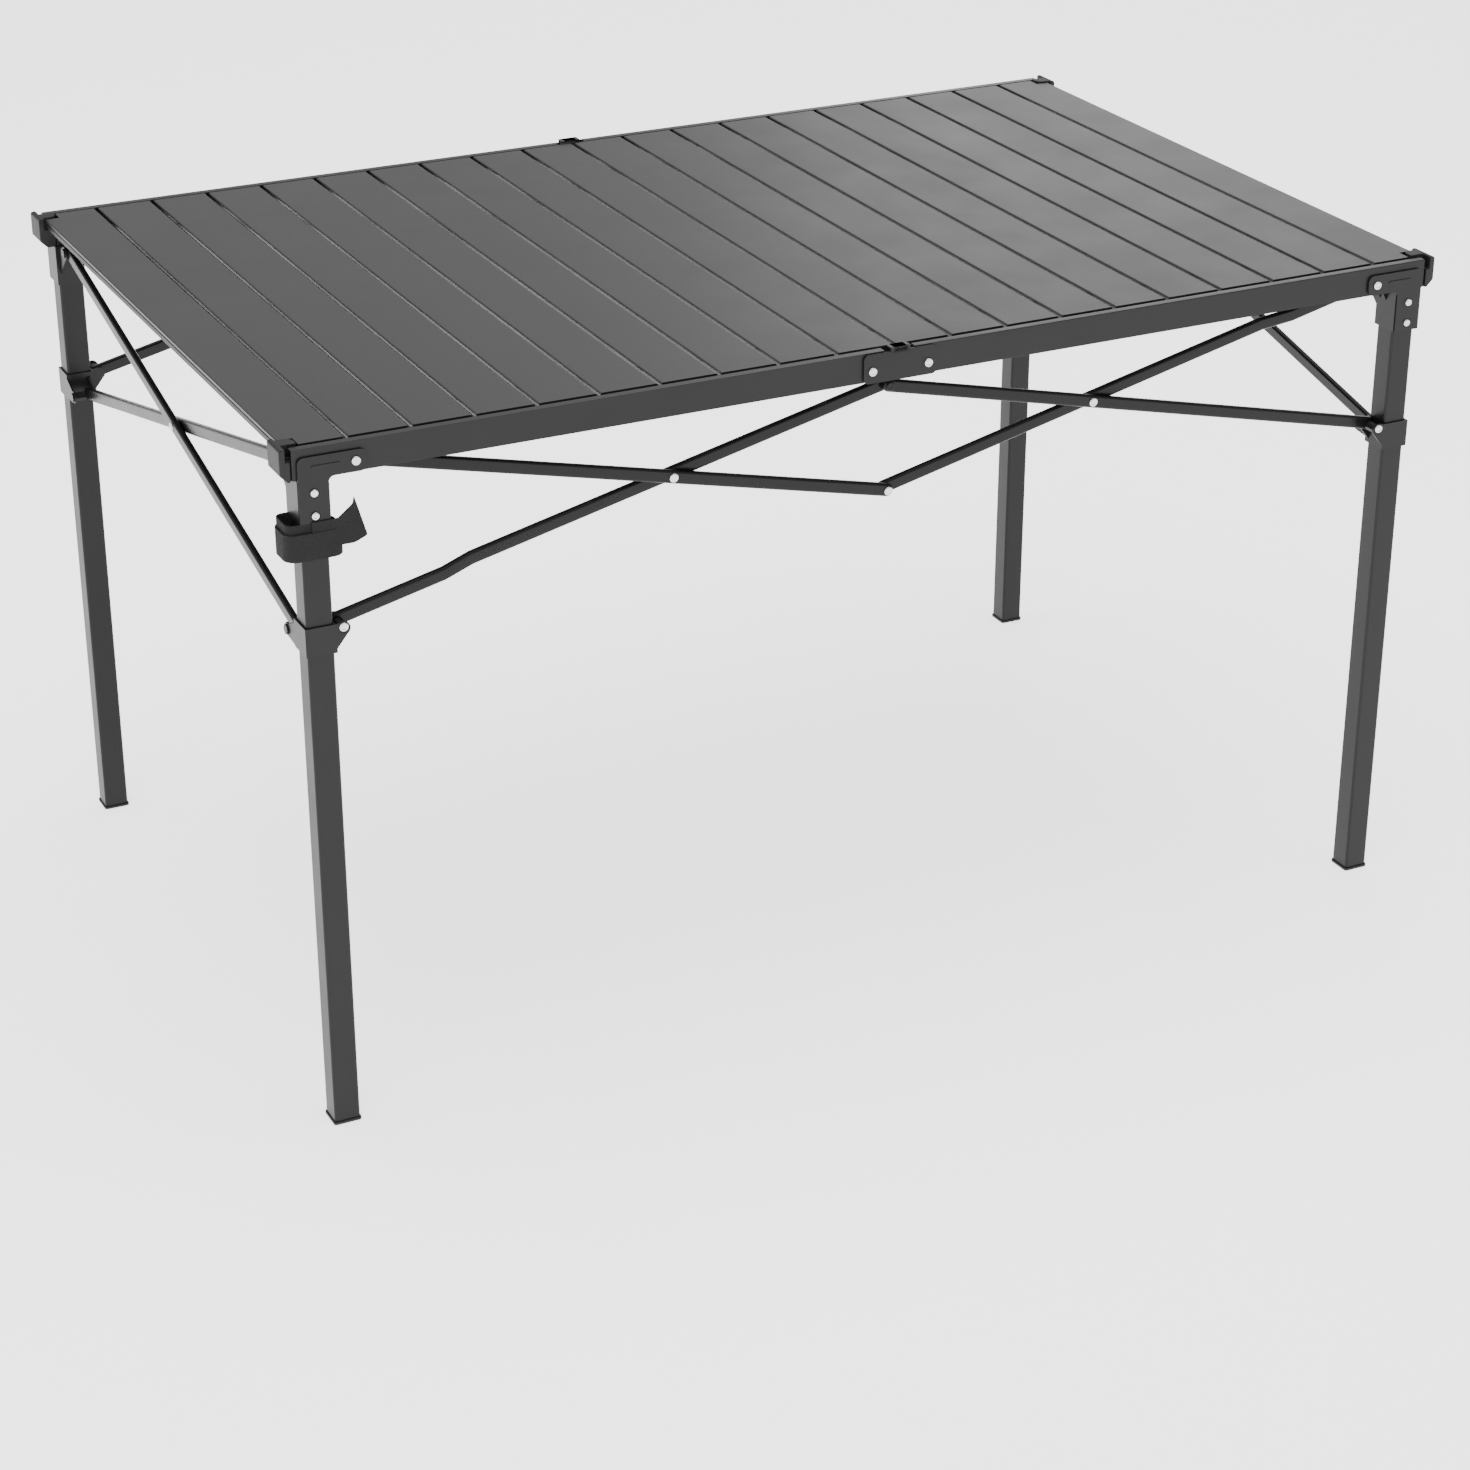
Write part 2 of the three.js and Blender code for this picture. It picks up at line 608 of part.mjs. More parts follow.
// ---- tie strap on the front left leg ------------------------------------------------------------

function buildTieStrap() {
  const thick = 1.8;
  const x = [-26, 28.5];
  const y = [-18.5, 19.4];
  const outline = roundedRectangle(x, y, 12);
  outline.holes.push(roundedRectangle([x[0] + thick, x[1] - thick], [y[0] + thick, y[1] - thick], 10.2));
  const bottom = HEIGHT - 101;
  const height = 33.5;
  const loop = new THREE.ExtrudeGeometry(outline, { depth: height, bevelEnabled: false, curveSegments: 5 });
  loop.translate(0, 0, bottom);
  const flap = new THREE.Shape();
  flap.moveTo(-8, bottom + 9);
  flap.lineTo(-45, bottom + 13);
  flap.lineTo(-47.5, bottom + 29);
  flap.lineTo(-35, bottom + 53);
  flap.lineTo(-20, bottom + 46);
  flap.lineTo(-8, bottom + 34);
  flap.closePath();
  const tail = plateAcross(flap, [y[1] - thick, y[1]]);
  return join(solid(loop), tail);
}

place('tie_strap', mirrored(toGeometry(buildTieStrap()), -1, -1), 'webbing', -LEG_X, -LEG_Y);

export default table;
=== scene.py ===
"""The looks of a folding picnic table.

A roll-up top of aluminium slats lies on two side rails, over four square legs and scissor arms.
"""

import json
import logging
import math
from dataclasses import dataclass, field
from enum import Enum
from typing import Callable, Iterable, Sequence

import bmesh
import bpy
from mathutils import Matrix, Vector


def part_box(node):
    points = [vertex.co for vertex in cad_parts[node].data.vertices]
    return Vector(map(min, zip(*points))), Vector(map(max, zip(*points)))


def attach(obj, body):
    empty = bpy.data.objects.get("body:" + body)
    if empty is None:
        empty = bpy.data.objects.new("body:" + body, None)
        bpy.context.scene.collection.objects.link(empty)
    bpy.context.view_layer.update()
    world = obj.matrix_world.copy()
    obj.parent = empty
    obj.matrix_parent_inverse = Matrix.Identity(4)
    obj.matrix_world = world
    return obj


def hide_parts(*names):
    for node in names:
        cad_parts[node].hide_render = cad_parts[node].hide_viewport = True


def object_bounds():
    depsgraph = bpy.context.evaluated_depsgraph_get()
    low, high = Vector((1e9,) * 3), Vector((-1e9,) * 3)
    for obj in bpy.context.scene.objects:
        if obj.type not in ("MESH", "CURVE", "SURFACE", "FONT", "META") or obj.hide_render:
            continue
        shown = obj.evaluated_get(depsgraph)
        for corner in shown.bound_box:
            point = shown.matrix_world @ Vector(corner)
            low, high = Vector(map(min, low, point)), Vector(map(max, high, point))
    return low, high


log = logging.getLogger("picnic_table")
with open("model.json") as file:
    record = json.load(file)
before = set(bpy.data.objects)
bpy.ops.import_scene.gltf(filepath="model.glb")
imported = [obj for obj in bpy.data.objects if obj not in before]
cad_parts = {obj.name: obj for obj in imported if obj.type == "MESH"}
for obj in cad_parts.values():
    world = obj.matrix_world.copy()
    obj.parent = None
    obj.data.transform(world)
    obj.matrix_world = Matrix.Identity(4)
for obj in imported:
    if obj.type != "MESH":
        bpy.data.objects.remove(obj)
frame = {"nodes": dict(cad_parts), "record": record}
bounds_low, bounds_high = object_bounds()

MM = 0.001
Test = Callable[[Vector, Vector], bool]
Colour = tuple[float, float, float]


class Slot(Enum):
    """The record's material slots."""

    SLAT = "slat"
    RAIL = "rail"
    LEG = "leg"
    BRACE = "brace"
    BRACKET = "bracket"
    PLASTIC = "plastic"
    WEBBING = "webbing"


class Corner(Enum):
    """The four corners, each with its name and the signs of its X and Y."""

    FRONT_LEFT = ("front_left", -1, -1)
    FRONT_RIGHT = ("front_right", 1, -1)
    BACK_LEFT = ("back_left", -1, 1)
    BACK_RIGHT = ("back_right", 1, 1)

    @property
    def label(self) -> str:
        """The corner's name as CAD nodes end with it."""
        return self.value[0]

    @property
    def signs(self) -> tuple[int, int]:
        """The signs of X and Y that point away from the table."""
        return self.value[1], self.value[2]

    def placing(self) -> Matrix:
        """The matrix to the table's frame from the corner's own, on its leg with X and Y outward."""
        low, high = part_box(f"leg_{self.label}")
        centre = (low + high) / 2
        x, y = self.signs
        return Matrix.Translation((centre.x, centre.y, 0)) @ Matrix.Diagonal((x, y, 1, 1))


def body_of(node: str) -> str:
    """The CAD body that a node belongs to."""
    groups = frame["record"]["behaviour"]["bodies"]
    return next(body for body, members in groups.items() if node in members)


# ---- finishes ------------------------------------------------------------------------------------


@dataclass(frozen=True)
class Finish:
    """A coated or moulded surface: two close shades, an uneven gloss and a fine relief.

    stretch lengthens the grain along an axis where its number is small.
    """

    name: str
    dark: Colour
    light: Colour
    metallic: float = 0.0
    gloss: tuple[float, float] = (0.35, 0.5)
    grain: float = 900.0
    stretch: Colour = (1.0, 1.0, 1.0)
    relief: float = 0.08
    depth: float = 0.0002
    specular: float = 0.3

    def material(self) -> bpy.types.Material:
        """The finish's node material, made once.

        Returns:
            The material, the same one each time it is asked for.
        """
        found = bpy.data.materials.get(self.name)
        if found:
            return found
        made = bpy.data.materials.new(self.name)
        made.use_nodes = True
        tree = made.node_tree
        shader = tree.nodes["Principled BSDF"]
        shader.inputs["Metallic"].default_value = self.metallic
        shader.inputs["Specular IOR Level"].default_value = self.specular
        place = tree.nodes.new("ShaderNodeTexCoord")
        mapping = tree.nodes.new("ShaderNodeMapping")
        mapping.inputs["Scale"].default_value = self.stretch
        tree.links.new(place.outputs["Object"], mapping.inputs["Vector"])
        fine = self._noise(tree, mapping.outputs["Vector"], self.grain, 4)
        broad = self._noise(tree, place.outputs["Object"], 14.0, 3)
        self._shade(tree, broad, shader)
        self._gloss(tree, fine, broad, shader)
        self._relief(tree, fine, shader)
        return made

    def _noise(
        self, tree: bpy.types.NodeTree, where: bpy.types.NodeSocket, scale: float, detail: float
    ) -> bpy.types.NodeSocket:
        """Adds a noise pattern.

        Args:
            tree: The material's nodes.
            where: The coordinates that it reads.
            scale: Its features to the metre.
            detail: Its octaves.

        Returns:
            The pattern's value socket.
        """
        noise = tree.nodes.new("ShaderNodeTexNoise")
        noise.inputs["Scale"].default_value = scale
        noise.inputs["Detail"].default_value = detail
        tree.links.new(where, noise.inputs["Vector"])
        return noise.outputs["Fac"]

    def _shade(
        self, tree: bpy.types.NodeTree, broad: bpy.types.NodeSocket, shader: bpy.types.Node
    ) -> None:
        """Drifts the colour between the two shades.

        Args:
            tree: The material's nodes.
            broad: The slow pattern that mixes them.
            shader: The surface shader.
        """
        mix = tree.nodes.new("ShaderNodeMix")
        mix.data_type = "RGBA"
        mix.inputs["A"].default_value = (*self.dark, 1)
        mix.inputs["B"].default_value = (*self.light, 1)
        tree.links.new(broad, mix.inputs["Factor"])
        tree.links.new(mix.outputs["Result"], shader.inputs["Base Color"])

    def _gloss(
        self,
        tree: bpy.types.NodeTree,
        fine: bpy.types.NodeSocket,
        broad: bpy.types.NodeSocket,
        shader: bpy.types.Node,
    ) -> None:
        """Makes the roughness uneven, finely and in soft patches.

        Args:
            tree: The material's nodes.
            fine: The grain.
            broad: The slow pattern.
            shader: The surface shader.
        """
        both = tree.nodes.new("ShaderNodeMath")
        both.operation = "MULTIPLY_ADD"
        both.inputs[1].default_value = 0.6
        tree.links.new(fine, both.inputs[0])
        soft = tree.nodes.new("ShaderNodeMath")
        soft.operation = "MULTIPLY"
        soft.inputs[1].default_value = 0.4
        tree.links.new(broad, soft.inputs[0])
        tree.links.new(soft.outputs[0], both.inputs[2])
        spread = tree.nodes.new("ShaderNodeMapRange")
        spread.inputs["From Min"].default_value = 0.3
        spread.inputs["From Max"].default_value = 0.7
        spread.inputs["To Min"].default_value = self.gloss[0]
        spread.inputs["To Max"].default_value = self.gloss[1]
        tree.links.new(both.outputs[0], spread.inputs["Value"])
        tree.links.new(spread.outputs["Result"], shader.inputs["Roughness"])

    def _relief(
        self, tree: bpy.types.NodeTree, height: bpy.types.NodeSocket, shader: bpy.types.Node
    ) -> None:
        """Raises the surface by a pattern.

        Args:
            tree: The material's nodes.
            height: The pattern.
            shader: The surface shader.
        """
        bump = tree.nodes.new("ShaderNodeBump")
        bump.inputs["Strength"].default_value = self.relief
        bump.inputs["Distance"].default_value = self.depth
        tree.links.new(height, bump.inputs["Height"])
        tree.links.new(bump.outputs["Normal"], shader.inputs["Normal"])


@dataclass(frozen=True)
class Webbing(Finish):
    """Woven tape: ribs across it and threads along it."""

    rib: float = 420.0

    def _relief(
        self, tree: bpy.types.NodeTree, height: bpy.types.NodeSocket, shader: bpy.types.Node
    ) -> None:
        """Raises the tape's ribs and threads.

        Args:
            tree: The material's nodes.
            height: The fuzz between the threads.
            shader: The surface shader.
        """
        place = tree.nodes.new("ShaderNodeTexCoord")
        total = height
        for direction, scale in (("Z", self.rib), ("DIAGONAL", self.rib * 0.7)):
            wave = tree.nodes.new("ShaderNodeTexWave")
            wave.bands_direction = direction
            wave.inputs["Scale"].default_value = scale
            wave.inputs["Distortion"].default_value = 0.6
            tree.links.new(place.outputs["Object"], wave.inputs["Vector"])
            add = tree.nodes.new("ShaderNodeMath")
            add.operation = "ADD"
            tree.links.new(total, add.inputs[0])
            tree.links.new(wave.outputs["Fac"], add.inputs[1])
            total = add.outputs[0]
        super()._relief(tree, total, shader)


SATIN_SLAT = Finish(
    "satin_slat",
    dark=(0.024, 0.024, 0.025),
    light=(0.034, 0.034, 0.035),
    metallic=0.4,
    gloss=(0.34, 0.46),
    grain=500,
    stretch=(14, 0.5, 14),
    relief=0.06,
    depth=0.0001,
)
COATED_RAIL = Finish(
    "coated_rail",
    dark=(0.01, 0.01, 0.0105),
    light=(0.015, 0.015, 0.0155),
    metallic=0.3,
    gloss=(0.28, 0.42),
    grain=1500,
    stretch=(0.4, 3, 3),
    relief=0.12,
    depth=0.0001,
    specular=0.25,
)
COATED_LEG = Finish(
    "coated_leg",
    dark=(0.009, 0.009, 0.0095),
    light=(0.014, 0.014, 0.0145),
    metallic=0.3,
    gloss=(0.34, 0.48),
    grain=1300,
    stretch=(4, 4, 0.15),
    relief=0.12,
    depth=0.0001,
    specular=0.25,
)
GLOSS_BRACE = Finish(
    "gloss_brace",
    dark=(0.004, 0.004, 0.0045),
    light=(0.008, 0.008, 0.0085),
    metallic=0.1,
    gloss=(0.2, 0.34),
    grain=1100,
    relief=0.06,
    depth=0.0001,
    specular=0.2,
)
PRESSED_BRACKET = Finish(
    "pressed_bracket",
    dark=(0.007, 0.007, 0.0075),
    light=(0.012, 0.012, 0.013),
    metallic=0.2,
    gloss=(0.3, 0.44),
    grain=1600,
    relief=0.15,
    depth=0.0001,
    specular=0.25,
)
MOULDED_PLASTIC = Finish(
    "moulded_plastic",
    dark=(0.006, 0.006, 0.0065),
    light=(0.01, 0.01, 0.0105),
    gloss=(0.42, 0.6),
    grain=2200,
    relief=0.3,
    specular=0.25,
)
POLISHED_RIVET = Finish(
    "polished_rivet",
    dark=(0.55, 0.55, 0.56),
    light=(0.72, 0.72, 0.73),
    metallic=1.0,
    gloss=(0.16, 0.3),
    grain=1800,
    relief=0.05,
    depth=0.0001,
)
# Near-black second finish for the slats' side grooves: painted shade that darkens the gaps between slats
# where shadow falls.
GROOVE_PAINTED_SHADE = Finish(
    "groove_painted_shade",
    dark=(0.003, 0.003, 0.003),
    light=(0.006, 0.006, 0.006),
    gloss=(0.6, 0.8),
    grain=1800,
    relief=0.2,
    depth=0.0001,
    specular=0.1,
)
BLACK_WEBBING = Webbing(
    "black_webbing",
    dark=(0.006, 0.006, 0.0065),
    light=(0.012, 0.012, 0.0125),
    gloss=(0.75, 0.95),
    grain=2600,
    relief=0.7,
    depth=0.0005,
)


# ---- the bench: pieces shaped with Blender's own tools ---------------------------------------------


@dataclass
class Workpiece:
    """A mesh on the bench, shaped in edit mode with faces, edges and points picked by place or normal."""

    obj: bpy.types.Object

    @staticmethod
    def clear() -> None:
        """Leaves edit mode and selects nothing."""
        if bpy.context.mode != "OBJECT":
            bpy.ops.object.mode_set(mode="OBJECT")
        bpy.ops.object.select_all(action="DESELECT")

    @classmethod
    def block(cls, name: str, low: Sequence[float], high: Sequence[float]) -> "Workpiece":
        """A block between two corners, to be shaped.

        Args:
            name: The piece's name.
            low: Its lowest corner, in metres.
            high: Its highest corner.

        Returns:
            The block, with its place in its mesh.
        """
        cls.clear()
        a, b = Vector(low), Vector(high)
        bpy.ops.mesh.primitive_cube_add(size=1, location=(a + b) / 2)
        bpy.context.object.scale = b - a
        return cls._settled(name)

    @classmethod
    def rod(
        cls, name: str, centre: Sequence[float], radius: float, depth: float, sides: int = 24
    ) -> "Workpiece":
        """A round rod along Z, to be shaped.

        Args:
            name: The piece's name.
            centre: Its middle, in metres.
            radius: Its radius.
            depth: Its length.
            sides: Its facets.

        Returns:
            The rod, with its place in its mesh.
        """
        cls.clear()
        bpy.ops.mesh.primitive_cylinder_add(vertices=sides, radius=radius, depth=depth, location=centre)
        return cls._settled(name)

    @classmethod
    def _settled(cls, name: str) -> "Workpiece":
        """The object just added, named, with its transform applied."""
        bpy.ops.object.transform_apply(location=True, rotation=True, scale=True)
        bpy.context.object.name = name
        return cls(bpy.context.object)

    @classmethod
    def copy_of(cls, node: str) -> "Workpiece":
        """A merged copy of a CAD node's mesh, with its flat faces whole, to be shaped.

        Args:
            node: The CAD node.

        Returns:
            The copy, named for its node.
        """
        cls.clear()
        mesh = frame["nodes"][node].data.copy()
        mesh.materials.clear()
        obj = bpy.data.objects.new(f"{node}_look", mesh)
        bpy.context.scene.collection.objects.link(obj)
        piece = cls(obj)
        piece.edit()
        bpy.ops.mesh.select_all(action="SELECT")
        bpy.ops.mesh.remove_doubles(threshold=1e-5)
        bpy.ops.mesh.dissolve_limited(angle_limit=math.radians(0.6))
        cls.clear()
        return piece

    def edit(self, kind: str = "VERT") -> bmesh.types.BMesh:
        """Opens the piece for editing with nothing selected.

        Args:
            kind: VERT, EDGE or FACE.

        Returns:
            Its open mesh.
        """
        self.clear()
        self.obj.select_set(True)
        bpy.context.view_layer.objects.active = self.obj
        bpy.ops.object.mode_set(mode="EDIT")
        bpy.ops.mesh.select_mode(type=kind)
        bpy.ops.mesh.select_all(action="DESELECT")
        return bmesh.from_edit_mesh(self.obj.data)

    def faces(self, test: Test) -> "Workpiece":
        """Selects faces.

        Args:
            test: Takes a face's middle and normal.

        Returns:
            The piece.
        """
        mesh = self.edit("FACE")
        for face in mesh.faces:
            face.select_set(test(face.calc_center_median(), face.normal))
        bmesh.update_edit_mesh(self.obj.data)
        return self

    def edges(self, test: Test) -> "Workpiece":
        """Selects edges.

        Args:
            test: Takes an edge's middle and direction.

        Returns:
            The piece.
        """
        mesh = self.edit("EDGE")
        for edge in mesh.edges:
            a, b = (v.co for v in edge.verts)
            edge.select_set(test((a + b) / 2, (b - a).normalized()))
        bmesh.update_edit_mesh(self.obj.data)
        return self

    def points(self, test: Callable[[Vector], bool]) -> "Workpiece":
        """Selects points.

        Args:
            test: Takes a point.

        Returns:
            The piece.
        """
        mesh = self.edit("VERT")
        for point in mesh.verts:
            point.select_set(test(point.co))
        mesh.select_flush(True)
        bmesh.update_edit_mesh(self.obj.data)
        return self

    def bevel(self, width: float, segments: int = 3) -> "Workpiece":
        """Rounds the selected edges."""
        bpy.ops.mesh.bevel(offset=width, segments=segments, affect="EDGES")
        return self

    def inset(self, margin: float, depth: float = 0.0) -> "Workpiece":
        """Insets the selected faces, and raises or sinks them by depth."""
        bpy.ops.mesh.inset(thickness=margin, depth=depth)
        return self

    def move(self, step: Sequence[float]) -> "Workpiece":
        """Moves what is selected."""
        bpy.ops.transform.translate(value=tuple(step))
        return self

    def delete_faces(self) -> "Workpiece":
        """Removes the selected faces."""
        bpy.ops.mesh.delete(type="FACE")
        return self

    def cut(self, point: Sequence[float], normal: Sequence[float]) -> "Workpiece":
        """Adds edges where a plane crosses the piece.

        Args:
            point: A point of the plane.
            normal: Its normal.

        Returns:
            The piece.
        """
        self.edit()
        bpy.ops.mesh.select_all(action="SELECT")
        bpy.ops.mesh.bisect(plane_co=tuple(point), plane_no=tuple(normal))
        return self

    def modifier(self, kind: str, **settings: object) -> "Workpiece":
        """Adds a modifier and applies it.

        Args:
            kind: The modifier's type.
            settings: Its settings by name.

        Returns:
            The piece.
        """
        self.clear()
        self.obj.select_set(True)
        bpy.context.view_layer.objects.active = self.obj
        added = self.obj.modifiers.new(kind.lower(), kind)
        for name, value in settings.items():
            setattr(added, name, value)
        bpy.ops.object.modifier_apply(modifier=added.name)
        return self

    def soften(self, width: float, segments: int = 2, angle: float = 35.0) -> "Workpiece":
        """Rounds every edge sharper than an angle, in degrees."""
        limit = math.radians(angle)
        return self.modifier(
            "BEVEL", width=width, segments=segments, limit_method="ANGLE", angle_limit=limit
        )

    def smooth(self) -> "Workpiece":
        """Shades the piece as one rounded surface with crisp creases."""
        self.clear()
        self.obj.select_set(True)
        bpy.context.view_layer.objects.active = self.obj
        bpy.ops.object.shade_smooth_by_angle(angle=math.radians(34))
        return self.modifier("WEIGHTED_NORMAL", keep_sharp=True)

    def placed(self, name: str, matrix: Matrix) -> "Workpiece":
        """A copy with its own mesh, moved by a matrix.

        Args:
            name: The copy's name.
            matrix: Where it goes. A mirroring one keeps its faces pointing outwards.

        Returns:
            The copy.
        """
        mesh = self.obj.data.copy()
        mesh.transform(matrix)
        if matrix.determinant() < 0:
            mesh.flip_normals()
        obj = bpy.data.objects.new(name, mesh)
        bpy.context.scene.collection.objects.link(obj)
        return Workpiece(obj)

    def scrap(self) -> None:
        """Removes a pattern piece that was only copied from."""
        self.clear()
        bpy.data.objects.remove(self.obj)

    def mark(self) -> "Workpiece":
        """Marks the selected faces for the piece's second finish, painted shade in the slats' grooves."""
        self.clear()
        for face in self.obj.data.polygons:
            if face.select:
                face.material_index = 1
        return self

    def extrude(self, step: Sequence[float]) -> "Workpiece":
        """Pulls the selected faces out."""
        bpy.ops.mesh.extrude_region_move(TRANSFORM_OT_translate={"value": tuple(step)})
        return self

    def dress(
        self, finish: Finish, body: str, slot: Slot, *replaced: str, painted_shade: Finish | None = None
    ) -> None:
        """Finishes the piece and hangs it on its body.

        Args:
            finish: Its surface.
            painted_shade: The near-black finish of its marked faces, painted shade.
            body: The CAD body it moves with.
            slot: The record's slot; not used.
            replaced: The CAD nodes it stands for.
        """
        self.smooth()
        self.obj.data.materials.append(finish.material())
        if painted_shade:
            self.obj.data.materials.append(painted_shade.material())
        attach(self.obj, body)
        if replaced:
            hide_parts(*replaced)
        log.info("%s on %s", self.obj.name, body)


# ---- sub-assemblies ------------------------------------------------------------------------------


@dataclass
class SlatTop:
    """The roll-up top: hollow slats with a groove along each side and a plug in each end."""

    count: int = 20
    edge: float = 1.5 * MM
    groove_margin: float = 3.2 * MM
    groove_depth: float = 0.9 * MM
    plug_sunk: float = 0.8 * MM
    wall: float = 1.2 * MM
    link_at: float = 310 * MM
    link_low: tuple[float, float, float] = (2.2 * MM, 5 * MM, 1.6 * MM)
    link_high: tuple[float, float, float] = (1.4 * MM, 5 * MM, 1.6 * MM)
    link_shift: float = 1.2 * MM
    plug_face: float = 0.3 * MM
    plug_depth: float = 3 * MM
    end_groove: float = 0.8
    middle: float = 0.2

    def build(self) -> None:
        """Makes and dresses every slat with its plugs and links."""
        names = [f"slat_{number:02d}" for number in range(1, self.count + 1)]
        pattern = self._pattern(names[1])
        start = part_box(names[1])[0].x
        for name in names:
            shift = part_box(name)[0].x - start
            if name in (names[0], names[-1]):
                slat = self._end_slat(name)
            else:
                slat = pattern.placed(f"{name}_look", Matrix.Translation((shift, 0, 0)))
            slat.dress(SATIN_SLAT, body_of(name), Slot.SLAT, name, painted_shade=GROOVE_PAINTED_SHADE)
            if name not in (names[0], names[-1]):
                self._plugs(name)
            if name != names[-1]:
                self._links(name)
        pattern.scrap()

    def _pattern(self, node: str) -> Workpiece:
        """The shape that the plain slats share.

        Args:
            node: The CAD node of one of them.

        Returns:
            The pattern, where that slat lies.
        """
        low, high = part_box(node)
        slat = Workpiece.block("slat_pattern", low, high)
        slat.edges(lambda c, d: abs(d.y) > 0.9).bevel(self.edge, 3)
        # The groove floors get the second finish, painted shade in the gaps between slats.
        slat.faces(lambda c, n: abs(n.x) > 0.99).inset(self.groove_margin, -self.groove_depth).mark()
        slat.faces(lambda c, n: abs(n.y) > 0.99).inset(self.wall, -self.plug_sunk)
        return slat.soften(0.2 * MM, 1, 50)

    def _end_slat(self, node: str) -> Workpiece:
        """An outermost slat, notched round the corner caps, with a groove along its outer side.

        Args:
            node: The slat's CAD node.

        Returns:
            The slat.
        """
        low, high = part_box(node)
        slat = Workpiece.copy_of(node)


        def is_outer_side(centre: Vector, normal: Vector) -> bool:
            """Whether a face is the long outer wall of the slat."""
            off = min(abs(centre.x - low.x), abs(centre.x - high.x))
            return abs(normal.x) > 0.99 and abs(centre.y) < self.middle and off < 0.2 * MM

        # The outer groove's floor gets the second finish, painted shade.
        slat.faces(is_outer_side).inset(self.groove_margin * self.end_groove, -self.groove_depth).mark()
        return slat.soften(0.25 * MM, 1, 50)

    def _plugs(self, node: str) -> None:
        """Makes the moulded plugs in a slat's two ends.

        Args:
            node: The slat's CAD node.
        """
        low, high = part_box(node)
        for label, y, inward in (("front", low.y, 1), ("back", high.y, -1)):
            near, far = sorted((y + inward * self.plug_face, y + inward * self.plug_depth))
            gap = self.wall + 0.3 * MM
            plug = Workpiece.block(
                f"{node}_plug_{label}",
                (low.x + gap, near, low.z + gap),
                (high.x - gap, far, high.z - gap),
            )
            plug.edges(lambda c, d: abs(d.y) > 0.9).bevel(1 * MM, 2)
            plug.faces(lambda c, n: n.y * inward < -0.9).inset(1.2 * MM, -0.25 * MM)
            plug.dress(MOULDED_PLASTIC, body_of(node), Slot.PLASTIC)

    def _links(self, node: str) -> None:
        """Makes the short links that show in the gap after a slat. They ride on it.

        Args:
            node: The slat's CAD node.
        """
        low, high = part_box(node)
        for label, y in (("front", -self.link_at), ("back", self.link_at)):
            middle = Vector((high.x + self.link_shift, y, (low.z + high.z) / 2))
            link = Workpiece.block(
                f"{node}_link_{label}", middle - Vector(self.link_low), middle + Vector(self.link_high)
            )
            link.edges(lambda c, d: abs(d.y) > 0.9).bevel(1.2 * MM, 3)
            link.dress(MOULDED_PLASTIC, body_of(node), Slot.PLASTIC)


@dataclass
class Rivets:
    """Bright domed rivet heads with a dimple, all copied from one head that points along Z."""

    height: float = 1.7 * MM
    sunk: float = 0.4 * MM
    sides: int = 28
    patterns: dict[float, Workpiece] = field(default_factory=dict)

    def head(self, radius: float) -> Workpiece:
        """The pattern head of a radius, standing on the plane z = 0.

        Args:
            radius: Its radius.

        Returns:
            The pattern, made once a radius.
        """
        if radius not in self.patterns:
            middle = (0, 0, self.height / 2 - self.sunk / 2)
            name = f"rivet_{round(radius * 1e5)}"
            made = Workpiece.rod(name, middle, radius, self.height + self.sunk, self.sides)
            top = self.height - 0.1 * MM
            made.edges(lambda c, d: c.z > top - 0.1 * MM and abs(d.z) < 0.1).bevel(self.height * 0.62, 5)
            made.faces(lambda c, n: n.z > 0.99).inset(radius * 0.16, 0.0).inset(radius * 0.12, -0.35 * MM)
            self.patterns[radius] = made
        return self.patterns[radius]

    def drive(
        self, name: str, at: Vector, outward: Vector, radius: float, node: str, bright: bool = True
    ) -> None:
        """Sets one head.

        Args:
            name: The head's name.
            at: Where it stands.
            outward: Which way it points.
            radius: Its radius.
            node: The CAD node whose body it moves with.
            bright: Whether it is polished, or coated like the arms.
        """
        turn = Vector((0, 0, 1)).rotation_difference(outward).to_matrix().to_4x4()
        finish = POLISHED_RIVET if bright else GLOSS_BRACE
        head = self.head(radius).placed(name, Matrix.Translation(at) @ turn)
        head.dress(finish, body_of(node), Slot.BRACKET)

    def put_away(self) -> None:
        """Removes the pattern heads."""
        for made in self.patterns.values():
            made.scrap()


@dataclass
class LegsAndRails:
    """The rails, legs, feet and caps, each a softened copy of its CAD solid."""

    edges: dict[str, tuple[Finish, Slot, float]] = field(
        default_factory=lambda: {
            "rail": (COATED_RAIL, Slot.RAIL, 0.7 * MM),
            "leg": (COATED_LEG, Slot.LEG, 0.3 * MM),
            "foot": (MOULDED_PLASTIC, Slot.PLASTIC, 0.5 * MM),
            "corner_cap": (MOULDED_PLASTIC, Slot.PLASTIC, 0.9 * MM),
        }
    )

    def build(self) -> None:
        """Makes and dresses one piece a kind and corner."""
        for kind, (finish, slot, width) in self.edges.items():
            for corner in Corner:
                node = f"{kind}_{corner.label}"
                Workpiece.copy_of(node).soften(width, 2).dress(finish, body_of(node), slot, node)


